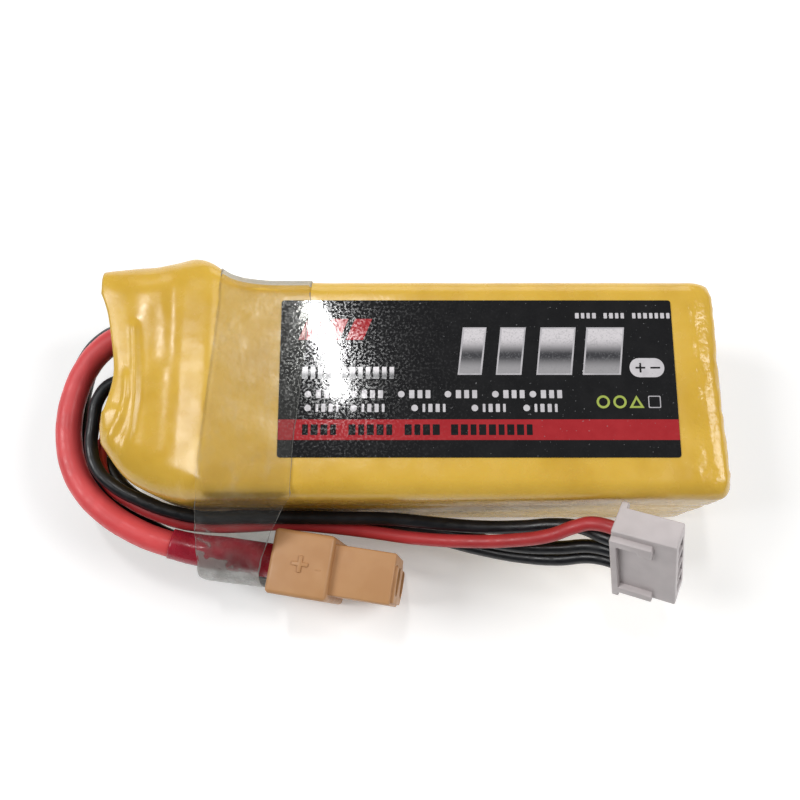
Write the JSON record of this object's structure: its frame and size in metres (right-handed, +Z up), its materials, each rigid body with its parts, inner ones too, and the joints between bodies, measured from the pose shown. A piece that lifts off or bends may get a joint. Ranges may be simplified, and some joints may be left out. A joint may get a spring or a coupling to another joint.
{
  "type": "lithium polymer battery pack",
  "caption": "Rectangular soft-cell battery pack in a glossy shrink wrap with a flared end, taped side leads, a two-pole power connector and a small balance plug.",
  "frame": {"origin": "about the middle of the pack's underside, on the surface it lies on, in the lengthwise plane midway between the cell tabs", "axes": "+X along the pack from the lead end to the closed end, +Y away from the taped leads, +Z up through the label"},
  "size_m": [0.0844, 0.0439, 0.0264],
  "materials": {
    "wrap_film": "glossy thin shrink film",
    "label_print": "glossy printed sticker",
    "clear_film": "clear adhesive tape, crumpled in places",
    "pouch_foil": "satin laminated foil",
    "electrode_stack": "dark layered foil",
    "tab_aluminium": "bright",
    "tab_nickel": "bright nickel",
    "adhesive": "tacky sheet",
    "polyimide": "amber film",
    "fibre_card": "pressed fibre",
    "board": "green solder mask",
    "solder": "bright solder",
    "fibre_pad": "dark fibre felt",
    "silicone_red": "soft satin silicone",
    "silicone_black": "soft satin silicone",
    "sleeve_red": "semi-gloss heat-shrink",
    "sleeve_black": "semi-gloss heat-shrink",
    "wire_red": "satin insulation",
    "wire_black": "satin insulation",
    "nylon_tan": "satin moulded nylon",
    "gilt_brass": "gold plated",
    "nylon_white": "satin moulded nylon",
    "tinned_contact": "tinned"
  },
  "bodies": {
    "root": {"shrink_wrap": "wrap_film", "label": "label_print", "clear_tape": "clear_film", "cell_bottom_pouch": "pouch_foil", "cell_middle_pouch": "pouch_foil", "cell_top_pouch": "pouch_foil", "cell_bottom_electrode_stack": "electrode_stack", "cell_middle_electrode_stack": "electrode_stack", "cell_top_electrode_stack": "electrode_stack", "cell_bottom_tab_positive": "tab_aluminium", "cell_middle_tab_positive": "tab_aluminium", "cell_top_tab_positive": "tab_aluminium", "cell_bottom_tab_negative": "tab_nickel", "cell_middle_tab_negative": "tab_nickel", "cell_top_tab_negative": "tab_nickel", "adhesive_pad_lower": "adhesive", "adhesive_pad_upper": "adhesive", "cell_binding_tape": "polyimide", "insulation_card": "fibre_card", "tab_board": "board", "tab_solder_joints": "solder", "wire_solder_joints": "solder", "end_pad": "fibre_pad", "discharge_lead_positive": "silicone_red", "discharge_lead_negative": "silicone_black", "heat_shrink_positive": "sleeve_red", "heat_shrink_negative": "sleeve_black", "balance_wire_positive": "wire_red", "balance_wire_tap_2": "wire_black", "balance_wire_tap_1": "wire_black", "balance_wire_negative": "wire_black", "power_connector_housing": "nylon_tan", "power_contact_positive": "gilt_brass", "power_contact_negative": "gilt_brass", "cup_solder_joints": "solder", "balance_plug_housing": "nylon_white", "balance_contact_1": "tinned_contact", "balance_contact_2": "tinned_contact", "balance_contact_3": "tinned_contact", "balance_contact_4": "tinned_contact"}
  },
  "joints": []
}
